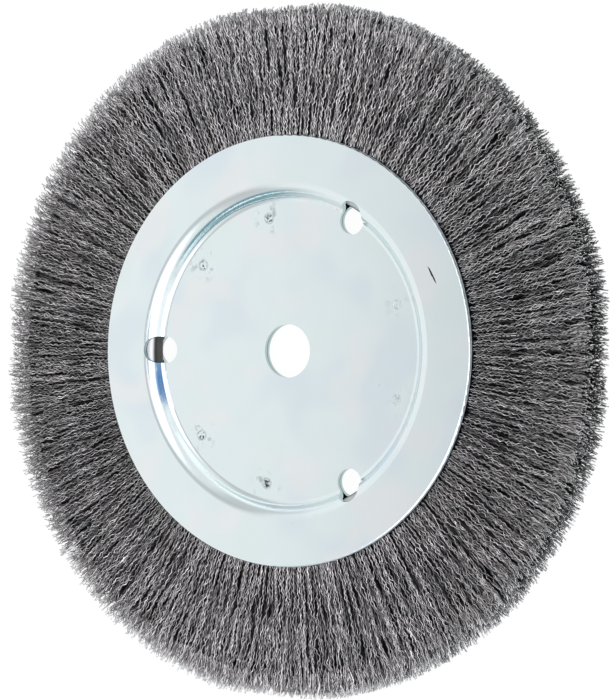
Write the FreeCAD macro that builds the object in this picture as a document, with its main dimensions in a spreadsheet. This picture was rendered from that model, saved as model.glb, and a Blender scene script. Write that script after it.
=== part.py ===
import FreeCAD, Part
import math
import os
import random

import Sketcher
from FreeCAD import Placement, Rotation, Vector

# Narrow crimped wire wheel: two pressed face plates back to back, a rolled retaining channel
# in the groove between their steps, a core wire ring, and crimped wire folded over that ring.
# Z is the wheel's axis. The origin is the middle of the arbor hole, between the two plates.

doc = FreeCAD.newDocument("WireWheel")
sheet = doc.addObject("Spreadsheet::Sheet", "Dimensions")

# Driving dimensions, in millimetres, degrees or a plain count.
driving = (
    ("wheel_diameter", 203.2, "across the trimmed wire ends"),
    ("trim_width", 12.7, "width of the brush face at the wire ends"),
    ("arbor_diameter", 15.875, "hole for the spindle"),
    ("plate_diameter", 127.0, "across each face plate"),
    ("sheet_gauge", 1.2, "thickness of the face plates"),
    ("recess_depth", 3.76, "how far the clamp disc lies below the flange"),
    ("recess_diameter", 88.4, "flat of the clamp disc, where the step starts"),
    ("wall_angle", 60.0, "slope of the step's wall"),
    ("disc_bend_radius", 1.8, "hollow bend at the foot of the step"),
    ("flange_bend_radius", 2.8, "inside of the bend at the top of the step"),
    ("rim_round", 0.4, "blanked edge of the flange"),
    ("drive_slot_count", 3, "drive slots through both plates"),
    ("drive_slot_width", 8.0, "across a drive slot"),
    ("drive_slot_length", 9.8, "along a drive slot, in line with a spoke"),
    ("drive_slot_reach", 49.6, "radius of a drive slot's outer end"),
    ("weld_circle_radius", 39.8, "radius of the ring of spot welds"),
    ("weld_spread", 20.0, "turn of a spot weld to each side of the plain spoke"),
    ("weld_diameter", 2.6, "mark left by the welding electrode"),
    ("weld_depth", 0.2, "depth of that mark"),
    ("channel_gauge", 0.8, "thickness of the channel strip"),
    ("channel_depth", 8.0, "from the channel's back to its lips"),
    ("core_wire_diameter", 1.8, "wire ring that the fill is folded over"),
    ("seat_clearance", 0.3, "between pieces that nest without a fit"),
    ("fold_thickness", 0.8, "wire around the inside of the core ring"),
    ("tuft_count", 48, "tufts around the wheel"),
    ("tuft_gap", 0.3, "least gap between neighbouring tufts"),
    ("crimp_pitch", 10.0, "length of one wave of a tuft"),
    ("crimp_height", 1.3, "height of one wave at the wire ends"),
    ("crimp_height_rim", 0.5, "height of one wave at the plate"),
    ("split_width", 0.9, "opening of the splits in a tuft at the wire ends"),
    ("split_depth", 23.0, "mean length of those splits"),
    ("tip_scatter", 1.8, "difference between long and short wire ends"),
)
for row, (alias, value, meaning) in enumerate(driving, start=1):
    sheet.set(f"A{row}", alias)
    sheet.set(f"B{row}", str(value))
    sheet.set(f"C{row}", meaning)
    sheet.setAlias(f"B{row}", alias)
doc.recompute()

# Formulas that more than one piece follows. Each word that is an alias stands for its cell.
SLOPE = "wall_angle * 1 deg"
OUTER_BEND = "( flange_bend_radius + sheet_gauge )"
BEND_SUM = f"( {OUTER_BEND} + disc_bend_radius )"
WALL_RISE = f"( recess_depth - {BEND_SUM} * ( 1 - cos( {SLOPE} ) ) )"
BEND_X = f"( recess_diameter / 2 + {BEND_SUM} * sin( {SLOPE} ) + {WALL_RISE} / tan( {SLOPE} ) )"
BEND_Z = "( recess_depth - flange_bend_radius )"
CHANNEL_OUTER_BEND = "( flange_bend_radius - seat_clearance )"
CHANNEL_INNER_BEND = f"( {CHANNEL_OUTER_BEND} - channel_gauge )"
CHANNEL_BACK = f"( {BEND_X} - {CHANNEL_OUTER_BEND} )"
LIP_X = f"( {CHANNEL_BACK} + channel_depth )"
FOLD_X = f"( {BEND_X} - {CHANNEL_INNER_BEND} + seat_clearance )"
CORE_X = f"( {FOLD_X} + fold_thickness + seat_clearance + core_wire_diameter / 2 )"

# A sketch numbers the points of an edge, and calls its own axes and origin by these numbers.
START, END, CENTRE = range(1, 4)
X_AXIS, ORIGIN = -1, (-1, 1)

# How the tufts differ from each other: shares of a half wave, of the split depth, and the draws.
FIRST_CREST = (0.2, 0.8)
LAST_CREST = 1 / 3
SPLIT_SPREAD = (0.75, 1.25)
STRANDS = 3
DRAWS_START = 8

# The passage for the core wire is a straight-sided hole through each tuft's fold.
PASSAGE_SIDES = 6

# How near a wire end is brought to its radius.
END_TOLERANCE = 0.001


def cell(formula):
    """Expression on the sheet, from a formula whose words are aliases."""
    words = formula.split()
    aliases = {word for word in words if sheet.getCellFromAlias(word)}
    return " ".join(f"Dimensions.{word}" if word in aliases else word for word in words)


def size(formula):
    """Value of an alias, or of a formula on the sheet, as a plain number."""
    result = sheet.evalExpression(cell(formula))
    return float(getattr(result, "Value", result))


def add_sketch(body, name, role):
    """Empty sketch on one of the body's own origin planes."""
    sketch = body.newObject("Sketcher::SketchObject", name)
    planes = [feature for feature in body.Origin.OriginFeatures if feature.Role == role]
    sketch.AttachmentSupport = [(planes[0], "")]
    sketch.MapMode = "FlatFace"
    return sketch


def hold(sketch, formula, kind, *places):
    """Dimension constraint whose value follows a formula on the sheet."""
    value = math.radians(size(formula)) if kind == "Angle" else size(formula)
    index = sketch.addConstraint(Sketcher.Constraint(kind, *places, value))
    sketch.setExpression(f"Constraints[{index}]", cell(formula))


def tie(sketch, kind, *places):
    """Constraint without a value, such as a coincidence or a tangent joint."""
    sketch.addConstraint(Sketcher.Constraint(kind, *places))


def line(x1, y1, x2, y2):
    """Straight edge of a sketch."""
    return Part.LineSegment(Vector(x1, y1, 0), Vector(x2, y2, 0))


def arc(x, y, radius, start, end):
    """Arc of a sketch about a centre, anticlockwise between two angles in degrees."""
    circle = Part.Circle(Vector(x, y, 0), Vector(0, 0, 1), radius)
    return Part.ArcOfCircle(circle, math.radians(start), math.radians(end))


def draw(sketch, edges):
    """Adds named edges to a sketch and returns each name's index."""
    sketch.addGeometry(list(edges.values()), False)
    return {name: index for index, name in enumerate(edges)}


def plate_section(body):
    """Half section of a face plate: disc, foot bend, wall, flange bend and flange."""
    sketch = add_sketch(body, body.Label + "_section", "XZ_Plane")
    gauge, depth, edge = size("sheet_gauge"), size("recess_depth"), size("rim_round")
    bore, rim = size("arbor_diameter / 2"), size("plate_diameter / 2")
    foot_x, foot_in = size("recess_diameter / 2"), size("disc_bend_radius")
    foot_out, foot_z = foot_in + gauge, foot_in + gauge
    bend_x, bend_z = size(BEND_X), size(BEND_Z)
    bend_in, bend_out = size("flange_bend_radius"), size(OUTER_BEND)
    angle = size("wall_angle")
    across, up = math.sin(math.radians(angle)), math.cos(math.radians(angle))

    def wall(foot, bend):
        """Wall's face between the foot bend and the flange bend of these radii."""
        return line(
            foot_x + foot * across, foot_z - foot * up, bend_x - bend * across, bend_z + bend * up
        )

    part = draw(
        sketch,
        {
            "disc_back": line(bore, 0, foot_x, 0),
            "foot_back": arc(foot_x, foot_z, foot_out, -90, angle - 90),
            "wall_back": wall(foot_out, bend_in),
            "bend_back": arc(bend_x, bend_z, bend_in, 90, 90 + angle),
            "flange_back": line(bend_x, depth, rim, depth),
            "edge": line(rim, depth, rim, depth + gauge - edge),
            "edge_round": arc(rim - edge, depth + gauge - edge, edge, 0, 90),
            "flange_front": line(rim - edge, depth + gauge, bend_x, depth + gauge),
            "bend_front": arc(bend_x, bend_z, bend_out, 90, 90 + angle),
            "wall_front": wall(foot_in, bend_out),
            "foot_front": arc(foot_x, foot_z, foot_in, -90, angle - 90),
            "disc_front": line(foot_x, gauge, bore, gauge),
            "bore": line(bore, gauge, bore, 0),
        },
    )
    smooth = (
        ("disc_back", END, "foot_back", START),
        ("foot_back", END, "wall_back", START),
        ("wall_back", END, "bend_back", END),
        ("bend_back", START, "flange_back", START),
        ("edge", END, "edge_round", START),
        ("edge_round", END, "flange_front", START),
        ("flange_front", END, "bend_front", START),
        ("bend_front", END, "wall_front", END),
        ("wall_front", START, "foot_front", END),
        ("foot_front", START, "disc_front", START),
    )
    for first, first_end, second, second_end in smooth:
        tie(sketch, "Tangent", part[first], first_end, part[second], second_end)
    tie(sketch, "Coincident", part["flange_back"], END, part["edge"], START)
    tie(sketch, "Coincident", part["disc_front"], END, part["bore"], START)
    tie(sketch, "Coincident", part["bore"], END, part["disc_back"], START)
    tie(sketch, "Coincident", part["foot_back"], CENTRE, part["foot_front"], CENTRE)
    tie(sketch, "Coincident", part["bend_back"], CENTRE, part["bend_front"], CENTRE)
    tie(sketch, "PointOnObject", part["disc_back"], START, X_AXIS)
    for name in ("disc_back", "disc_front", "flange_back", "flange_front"):
        tie(sketch, "Horizontal", part[name])
    for name in ("edge", "bore"):
        tie(sketch, "Vertical", part[name])
    hold(sketch, "arbor_diameter / 2", "DistanceX", *ORIGIN, part["disc_back"], START)
    hold(sketch, "recess_diameter / 2", "DistanceX", *ORIGIN, part["disc_back"], END)
    hold(sketch, "plate_diameter / 2", "DistanceX", *ORIGIN, part["edge"], START)
    hold(sketch, "recess_depth", "DistanceY", *ORIGIN, part["flange_back"], START)
    hold(sketch, "disc_bend_radius", "Radius", part["foot_front"])
    hold(sketch, "disc_bend_radius + sheet_gauge", "Radius", part["foot_back"])
    hold(sketch, "flange_bend_radius", "Radius", part["bend_back"])
    hold(sketch, OUTER_BEND, "Radius", part["bend_front"])
    hold(sketch, "rim_round", "Radius", part["edge_round"])
    hold(sketch, SLOPE, "Angle", part["wall_back"])
    return sketch


def drive_slot_sketch(body):
    """Round-ended slot across the step, on the spoke that points along -X."""
    sketch = add_sketch(body, body.Label + "_slot_outline", "XY_Plane")
    half = size("drive_slot_width / 2")
    far = half - size("drive_slot_reach")
    near = far + size("drive_slot_length - drive_slot_width")
    part = draw(
        sketch,
        {
            "far_end": arc(far, 0, half, 90, 270),
            "side": line(far, -half, near, -half),
            "near_end": arc(near, 0, half, -90, 90),
            "other_side": line(near, half, far, half),
        },
    )
    names = list(part)
    for first, second in zip(names, names[1:] + names[:1]):
        tie(sketch, "Tangent", part[first], END, part[second], START)
    tie(sketch, "Horizontal", part["side"])
    tie(sketch, "Horizontal", part["other_side"])
    far_end, near_end = part["far_end"], part["near_end"]
    tie(sketch, "PointOnObject", far_end, CENTRE, X_AXIS)
    hold(sketch, "drive_slot_width / 2", "Radius", far_end)
    hold(sketch, "drive_slot_reach - drive_slot_width / 2", "DistanceX", far_end, CENTRE, *ORIGIN)
    straight = "drive_slot_length - drive_slot_width"
    hold(sketch, straight, "DistanceX", far_end, CENTRE, near_end, CENTRE)
    return sketch


def weld_mark_sketch(body):
    """Two electrode marks, one to each side of the plain spoke along +X."""
    sketch = add_sketch(body, body.Label + "_mark_outlines", "XY_Plane")
    sketch.setExpression("AttachmentOffset.Base.z", cell("sheet_gauge - weld_depth"))
    along = "weld_circle_radius * cos( weld_spread * 1 deg )"
    aside = "weld_circle_radius * sin( weld_spread * 1 deg )"
    radius = size("weld_diameter / 2")
    for index, side in enumerate((1, -1)):
        centre = Vector(size(along), side * size(aside), 0)
        sketch.addGeometry(Part.Circle(centre, Vector(0, 0, 1), radius), False)
        hold(sketch, "weld_diameter / 2", "Radius", index)
        hold(sketch, along, "DistanceX", *ORIGIN, index, CENTRE)
    hold(sketch, aside, "DistanceY", *ORIGIN, 0, CENTRE)
    hold(sketch, aside, "DistanceY", 1, CENTRE, *ORIGIN)
    return sketch


def cut_upwards(body, sketch, name):
    """Pocket from a sketch through all the metal above it, checked to remove some."""
    before = body.Shape.Volume
    pocket = body.newObject("PartDesign::Pocket", name)
    pocket.Profile = sketch
    pocket.Type = "ThroughAll"
    pocket.Reversed = True
    doc.recompute()
    if not 0 < pocket.Shape.Volume < before:
        raise RuntimeError(f"{name} removes nothing")
    return pocket


def face_plate(label):
    """Pressed face plate: turned section, then a slot and two weld marks on each spoke."""
    body = doc.addObject("PartDesign::Body", label)
    section = plate_section(body)
    pressing = body.newObject("PartDesign::Revolution", label + "_pressing")
    pressing.Profile = section
    pressing.ReferenceAxis = (section, ["V_Axis"])
    doc.recompute()
    slot = cut_upwards(body, drive_slot_sketch(body), label + "_slot")
    marks = cut_upwards(body, weld_mark_sketch(body), label + "_marks")
    repeats = body.newObject("PartDesign::PolarPattern", label + "_repeats")
    repeats.Originals = [slot, marks]
    repeats.Axis = (section, ["V_Axis"])
    repeats.setExpression("Occurrences", cell("drive_slot_count"))
    body.Tip = repeats
    return body


def retaining_channel():
    """Rolled ring of U section, bent about the same centres as the two flange bends."""
    body = doc.addObject("PartDesign::Body", "retaining_channel")
    sketch = add_sketch(body, "retaining_channel_section", "XZ_Plane")
    gauge, lip_x = size("channel_gauge"), size(LIP_X)
    bend_x, bend_z = size(BEND_X), size(BEND_Z)
    outer, inner = size(CHANNEL_OUTER_BEND), size(CHANNEL_INNER_BEND)
    top = bend_z + outer
    part = draw(
        sketch,
        {
            "top_outside": line(bend_x, top, lip_x, top),
            "top_lip": line(lip_x, top, lip_x, top - gauge),
            "top_inside": line(lip_x, top - gauge, bend_x, top - gauge),
            "top_inner_bend": arc(bend_x, bend_z, inner, 90, 180),
            "back_inside": line(bend_x - inner, bend_z, bend_x - inner, -bend_z),
            "low_inner_bend": arc(bend_x, -bend_z, inner, 180, 270),
            "low_inside": line(bend_x, gauge - top, lip_x, gauge - top),
            "low_lip": line(lip_x, gauge - top, lip_x, -top),
            "low_outside": line(lip_x, -top, bend_x, -top),
            "low_outer_bend": arc(bend_x, -bend_z, outer, 180, 270),
            "back_outside": line(bend_x - outer, -bend_z, bend_x - outer, bend_z),
            "top_outer_bend": arc(bend_x, bend_z, outer, 90, 180),
        },
    )
    smooth = (
        ("top_inside", END, "top_inner_bend", START),
        ("top_inner_bend", END, "back_inside", START),
        ("back_inside", END, "low_inner_bend", START),
        ("low_inner_bend", END, "low_inside", START),
        ("low_outside", END, "low_outer_bend", END),
        ("low_outer_bend", START, "back_outside", START),
        ("back_outside", END, "top_outer_bend", END),
        ("top_outer_bend", START, "top_outside", START),
    )
    for first, first_end, second, second_end in smooth:
        tie(sketch, "Tangent", part[first], first_end, part[second], second_end)
    for first, second in (("top_outside", "top_lip"), ("top_lip", "top_inside")):
        tie(sketch, "Coincident", part[first], END, part[second], START)
    for first, second in (("low_inside", "low_lip"), ("low_lip", "low_outside")):
        tie(sketch, "Coincident", part[first], END, part[second], START)
    bends = (("top_inner_bend", "top_outer_bend"), ("low_inner_bend", "low_outer_bend"))
    for inner_bend, outer_bend in bends:
        tie(sketch, "Coincident", part[inner_bend], CENTRE, part[outer_bend], CENTRE)
        hold(sketch, CHANNEL_INNER_BEND, "Radius", part[inner_bend])
        hold(sketch, CHANNEL_OUTER_BEND, "Radius", part[outer_bend])
        hold(sketch, BEND_X, "DistanceX", *ORIGIN, part[inner_bend], CENTRE)
    hold(sketch, BEND_Z, "DistanceY", *ORIGIN, part["top_inner_bend"], CENTRE)
    hold(sketch, BEND_Z, "DistanceY", part["low_inner_bend"], CENTRE, *ORIGIN)
    for name in ("top_outside", "top_inside", "low_inside", "low_outside"):
        tie(sketch, "Horizontal", part[name])
    for name in ("top_lip", "low_lip"):
        tie(sketch, "Vertical", part[name])
        hold(sketch, LIP_X, "DistanceX", *ORIGIN, part[name], START)
    ring = body.newObject("PartDesign::Revolution", "retaining_channel_ring")
    ring.Profile = sketch
    ring.ReferenceAxis = (sketch, ["V_Axis"])
    body.Tip = ring
    return body


def core_wire_ring():
    """Round wire bent to a ring, in the bottom of the channel."""
    ring = doc.addObject("Part::Torus", "core_wire_ring")
    ring.setExpression("Radius1", cell(CORE_X))
    ring.setExpression("Radius2", cell("core_wire_diameter / 2"))
    return ring


def tuft_plan(draws):
    """Outline of one tuft in plan, lying along +X, as points in order round it.

    Its two sides and its two splits follow one wave, the crimp. The wave grows from the plate's
    rim to the wire ends, and the tuft narrows by it, so that neighbours never meet.
    """
    rim, reach = size("plate_diameter / 2"), size("wheel_diameter / 2")
    root, scatter = size(FOLD_X), size("tip_scatter")
    step, spread = size("crimp_pitch / 2"), math.tan(math.pi / size("tuft_count"))
    low, high = size("crimp_height_rim / 2"), size("crimp_height / 2")
    gap, opening = size("tuft_gap / 2"), size("split_width / 2")
    first = rim + step * draws.uniform(*FIRST_CREST)
    last = reach - scatter - step * LAST_CREST
    crests = [first + step * count for count in range(int((last - first) / step) + 1)]
    turn = draws.choice((-1, 1))

    def swing(x):
        """Sideways swing of the wave at its full height here."""
        return low + (high - low) * (x - rim) / (reach - rim)

    def edge(x, share, splay=0.0):
        """Point at x on the line that keeps this share of the tuft's half width."""
        phase = ((x - first) / step) % 2
        wave = turn * (1 - 2 * abs(phase - 1)) * swing(x)
        return Vector(x, share * (x * spread - gap - swing(x)) + wave + splay, 0)

    def end(radius, share, splay=0.0):
        """Point on the same line at this radius from the wheel's axis, found step by step."""
        point = edge(radius, share, splay)
        while abs(math.hypot(point.x, point.y) - radius) > END_TOLERANCE:
            point = edge(math.sqrt(radius**2 - point.y**2), share, splay)
        return point

    def short():
        """Radius of a wire end that the trim left short."""
        return reach - scatter * draws.random()

    def tips(lower, upper, middle):
        """Ends of one strand, between the lines of two shares."""
        return [end(short(), *lower), end(middle, (lower[0] + upper[0]) / 2), end(short(), *upper)]

    def split(share):
        """Both sides of a split, in to its end and out again."""
        end_of_split = reach - size("split_depth") * draws.uniform(*SPLIT_SPREAD)
        places = range(len(crests[:-1]))
        inner = min(places, key=lambda count: abs(end_of_split - crests[count]))

        def side(sign):
            """One side of the split, which opens evenly from its end outwards."""
            opens = opening / (reach - crests[inner])
            return [edge(x, share, sign * opens * (x - crests[inner])) for x in crests[inner + 1 :]]

        return side(-1)[::-1] + [edge(crests[inner], share)] + side(1)

    side_low = [edge(x, -1) for x in crests]
    side_high = [edge(x, 1) for x in crests]
    packed = [Vector(x, x * spread - gap, 0) for x in (root, rim)]
    cut = 1 / STRANDS
    return (
        [Vector(point.x, -point.y, 0) for point in packed]
        + side_low
        + tips((-1, 0), (-cut, -opening), short())
        + split(-cut)
        + tips((-cut, opening), (cut, -opening), reach)
        + split(cut)
        + tips((cut, opening), (1, 0), short())
        + side_high[::-1]
        + packed[::-1]
    )


def prism(points, along):
    """Solid between a closed outline and its copy moved by a vector."""
    return Part.Face(Part.makePolygon(points + points[:1])).extrude(along)


def tuft_envelope():
    """Wedge that sets a tuft's width: narrow in the channel, wide at the wire ends.

    The passage for the core wire is left open at its root, where the wire folds over it.
    """
    bend_x, bend_z, clear = size(BEND_X), size(BEND_Z), size("seat_clearance")
    packed = bend_z + size(CHANNEL_INNER_BEND) - clear
    half = (
        (size(FOLD_X), bend_z),
        (bend_x, packed),
        (size(LIP_X) + clear, packed),
        (size("plate_diameter / 2"), size("recess_depth") - clear),
        (size("wheel_diameter / 2"), size("trim_width / 2")),
    )
    breadth = size("wheel_diameter")
    upper = [Vector(x, -breadth / 2, z) for x, z in half]
    lower = [Vector(x, -breadth / 2, -z) for x, z in reversed(half)]
    wedge = prism(upper + lower, Vector(0, breadth, 0))
    core_x = size(CORE_X)
    side_turn = 2 * math.pi / PASSAGE_SIDES
    corner = (size("core_wire_diameter / 2") + clear) / math.cos(side_turn / 2)
    turns = [side_turn * (count + 0.5) for count in range(PASSAGE_SIDES)]
    passage = [
        Vector(core_x + corner * math.cos(turn), -breadth / 2, corner * math.sin(turn))
        for turn in turns
    ]
    return wedge.cut(prism(passage, Vector(0, breadth, 0)))


def wire_tufts():
    """Tufts of crimped wire side by side around the core ring, no two with the same ends."""
    count = int(size("tuft_count"))
    half_width = size("trim_width / 2")
    envelope = tuft_envelope()
    draws = random.Random(DRAWS_START)
    tufts = []
    for index in range(count):
        tuft = doc.addObject("Part::Feature", f"wire_tuft_{index + 1:02d}")
        plan = [point - Vector(0, 0, half_width) for point in tuft_plan(draws)]
        solids = prism(plan, Vector(0, 0, 2 * half_width)).common(envelope).Solids
        if len(solids) != 1:
            raise RuntimeError(f"{tuft.Label} came out as {len(solids)} solids")
        tuft.Shape = solids[0]
        tuft.Placement = Placement(Vector(), Rotation(Vector(0, 0, 1), 360 * index / count))
        tufts.append(tuft)
    return tufts


front = face_plate("front_face_plate")
rear = face_plate("rear_face_plate")
rear.Placement = Placement(Vector(), Rotation(Vector(1, 0, 0), 180))
pieces = [front, rear, retaining_channel(), core_wire_ring(), *wire_tufts()]
doc.recompute()

for item in doc.Objects:
    if "Invalid" in item.State or "Error" in item.State:
        raise RuntimeError(f"{item.Label} did not build: {item.State}")
    if item.TypeId == "Sketcher::SketchObject" and not item.FullyConstrained:
        raise RuntimeError(f"{item.Label} is not fully constrained")
for piece in pieces:
    shape = piece.Shape
    if shape.isNull() or not shape.isValid() or len(shape.Solids) != 1:
        raise RuntimeError(f"{piece.Label} is not one good solid")

os.makedirs("parts", exist_ok=True)
for piece in pieces:
    piece.Shape.exportStep(f"parts/{piece.Label}.step")
    print(piece.Label, "volume", round(piece.Shape.Volume, 1))
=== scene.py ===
"""Crimped wire wheel, dressed for its picture.

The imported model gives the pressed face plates, the rolled channel and the core ring. This script
gives them their finishes, and lays real crimped wires in place of the plain tufts.
"""
import logging
import math
from dataclasses import dataclass
from enum import Enum

import bmesh
import bpy
from mathutils import Matrix, Vector, noise


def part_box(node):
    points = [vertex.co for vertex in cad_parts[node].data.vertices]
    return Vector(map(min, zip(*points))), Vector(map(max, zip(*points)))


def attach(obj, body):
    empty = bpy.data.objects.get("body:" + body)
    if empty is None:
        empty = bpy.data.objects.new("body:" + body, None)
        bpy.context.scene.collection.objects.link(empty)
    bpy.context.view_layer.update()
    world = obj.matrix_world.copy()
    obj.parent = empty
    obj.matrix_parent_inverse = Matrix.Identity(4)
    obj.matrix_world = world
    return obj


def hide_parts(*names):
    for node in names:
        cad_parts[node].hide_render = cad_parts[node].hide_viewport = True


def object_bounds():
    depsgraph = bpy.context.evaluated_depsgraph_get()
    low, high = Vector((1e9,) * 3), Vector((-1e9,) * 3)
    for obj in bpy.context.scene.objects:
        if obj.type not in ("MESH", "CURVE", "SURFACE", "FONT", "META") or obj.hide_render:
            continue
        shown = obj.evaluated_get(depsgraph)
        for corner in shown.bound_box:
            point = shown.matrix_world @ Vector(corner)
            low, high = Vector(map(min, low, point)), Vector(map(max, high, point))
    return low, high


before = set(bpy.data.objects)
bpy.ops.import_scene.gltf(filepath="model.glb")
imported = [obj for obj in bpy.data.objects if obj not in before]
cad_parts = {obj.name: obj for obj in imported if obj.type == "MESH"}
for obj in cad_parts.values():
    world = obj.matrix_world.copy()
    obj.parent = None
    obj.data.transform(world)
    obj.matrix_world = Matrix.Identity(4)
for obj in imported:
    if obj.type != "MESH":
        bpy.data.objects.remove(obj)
CAD_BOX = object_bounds()

MM = 0.001
ARCH = 4.0  # brings share * (1 - share) to 1 half way
Colour = tuple[float, float, float, float]
Direction = tuple[float, float, float]
Span = tuple[float, float]
Socket = bpy.types.NodeSocket
Value = Socket | float
WHITE: Colour = (1.0, 1.0, 1.0, 1.0)
log = logging.getLogger("wire_wheel")


class Nodes:
    """Short calls that fill a node tree."""

    def __init__(self, tree: bpy.types.NodeTree) -> None:
        """Keeps the tree that is filled."""
        self.tree = tree

    @staticmethod
    def find(sockets: bpy.types.bpy_prop_collection, key: int | str) -> Socket:
        """Finds one of a node's sockets.

        Args:
            sockets: the node's inputs.
            key: name of a socket that is in use, or number of any socket.

        Returns:
            The socket.
        """
        if isinstance(key, int):
            return sockets[key]
        return next(socket for socket in sockets if socket.name == key and socket.enabled)

    def add(self, kind: str, inputs: dict | None = None, **settings: object) -> bpy.types.Node:
        """Adds a node to the tree.

        Args:
            kind: the node's type.
            inputs: a plain value or another node's output for each input, by name or number.
            settings: the node's own properties.

        Returns:
            The new node.
        """
        node = self.tree.nodes.new(kind)
        for name, value in settings.items():
            setattr(node, name, value)
        for key, value in (inputs or {}).items():
            socket = self.find(node.inputs, key)
            if isinstance(value, Socket):
                self.tree.links.new(value, socket)
            else:
                socket.default_value = value
        return node

    def out(self, kind: str, inputs: dict | None = None, **settings: object) -> Socket:
        """Adds a node and gives its first output that is in use."""
        node = self.add(kind, inputs, **settings)
        return next(socket for socket in node.outputs if socket.enabled)

    def calc(self, operation: str, *values: Value) -> Socket:
        """Adds a sum, quotient or other operation on numbers."""
        return self.out("ShaderNodeMath", dict(enumerate(values)), operation=operation)

    def times(self, first: Value, *others: Value) -> Value:
        """Multiplies numbers from left to right.

        Args:
            first: the first number.
            others: the numbers that it is multiplied by.

        Returns:
            The product.
        """
        for other in others:
            first = self.calc("MULTIPLY", first, other)
        return first

    def vector(self, operation: str, *values: Socket | Direction) -> Socket:
        """Adds an operation on vectors."""
        return self.out("ShaderNodeVectorMath", dict(enumerate(values)), operation=operation)

    def length(self, arrow: Socket) -> Socket:
        """Gives a vector's length."""
        return self.vector("LENGTH", arrow).node.outputs["Value"]

    def nearness(self, arrow: Socket, other: Socket | Direction) -> Socket:
        """Gives how near two directions are, from 1 where they agree to -1."""
        return self.vector("DOT_PRODUCT", arrow, other).node.outputs["Value"]

    def point(self, x: Value, y: Value, z: Value) -> Socket:
        """Joins three numbers to a vector."""
        return self.out("ShaderNodeCombineXYZ", {"X": x, "Y": y, "Z": z})

    def split(self, place: Socket) -> bpy.types.bpy_prop_collection:
        """Parts a vector into its three numbers."""
        return self.add("ShaderNodeSeparateXYZ", {0: place}).outputs

    def blend(self, share: Value, first: Value, second: Value) -> Socket:
        """Blends two numbers."""
        return self.out("ShaderNodeMix", {"Factor": share, "A": first, "B": second})

    def tint(self, share: Value, first: Socket | Colour, second: Socket | Colour) -> Socket:
        """Blends two colours."""
        values = {"Factor": share, "A": first, "B": second}
        return self.out("ShaderNodeMix", values, data_type="RGBA")

    def ramp(self, value: Value, low: Value, high: Value, start: Value = 0.0,
             end: Value = 1.0) -> Socket:
        """Goes smoothly from start to end while a value goes from low to high."""
        values = {"Value": value, "From Min": low, "From Max": high, "To Min": start, "To Max": end}
        return self.out("ShaderNodeMapRange", values, interpolation_type="SMOOTHSTEP")

    def cloud(self, place: Socket, scale: Value, detail: float = 2.0) -> Socket:
        """Adds soft noise that reads a place."""
        values = {"Vector": place, "Scale": scale, "Detail": detail}
        return self.out("ShaderNodeTexNoise", values)

    def sway(self, place: Socket, scale: float, detail: float = 2.0) -> Socket:
        """Adds soft noise that swings about zero."""
        return self.calc("SUBTRACT", self.cloud(place, scale, detail), 0.5)

    def bump(self, strength: float, distance: float, height: Socket) -> Socket:
        """Turns a height into the normal of an uneven surface."""
        values = {"Strength": strength, "Distance": distance, "Height": height}
        return self.out("ShaderNodeBump", values)

    def coat(self, surface: bpy.types.Node, values: dict) -> None:
        """Makes the finish's own shader and joins it to the material's output."""
        shader = self.add("ShaderNodeBsdfPrincipled", values)
        self.tree.links.new(shader.outputs[0], surface.inputs["Surface"])


def open_group(name: str, kind: str, inputs: dict, outputs: dict) -> tuple[Nodes, dict]:
    """Starts a node group with named inputs and outputs.

    Args:
        name: name of the group.
        kind: type of its tree.
        inputs: type and starting value of each input; no value is None.
        outputs: type of each output.

    Returns:
        The group's nodes, and each input's socket inside the group.
    """
    tree = bpy.data.node_groups.new(name, kind)
    for label, (socket_type, value) in inputs.items():
        socket = tree.interface.new_socket(label, in_out="INPUT", socket_type=socket_type)
        if value is not None:
            socket.default_value = value
    for label, socket_type in outputs.items():
        tree.interface.new_socket(label, in_out="OUTPUT", socket_type=socket_type)
    nodes = Nodes(tree)
    entry = nodes.add("NodeGroupInput")
    return nodes, {label: entry.outputs[label] for label in inputs}


def new_material(name: str) -> tuple[bpy.types.Material, Nodes, bpy.types.Node]:
    """Starts an empty material with its output node.

    Args:
        name: name of the material.

    Returns:
        The material, its nodes and its output node.
    """
    material = bpy.data.materials.new(name)
    material.use_nodes = True
    material.node_tree.nodes.clear()
    nodes = Nodes(material.node_tree)
    return material, nodes, nodes.add("ShaderNodeOutputMaterial")


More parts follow.
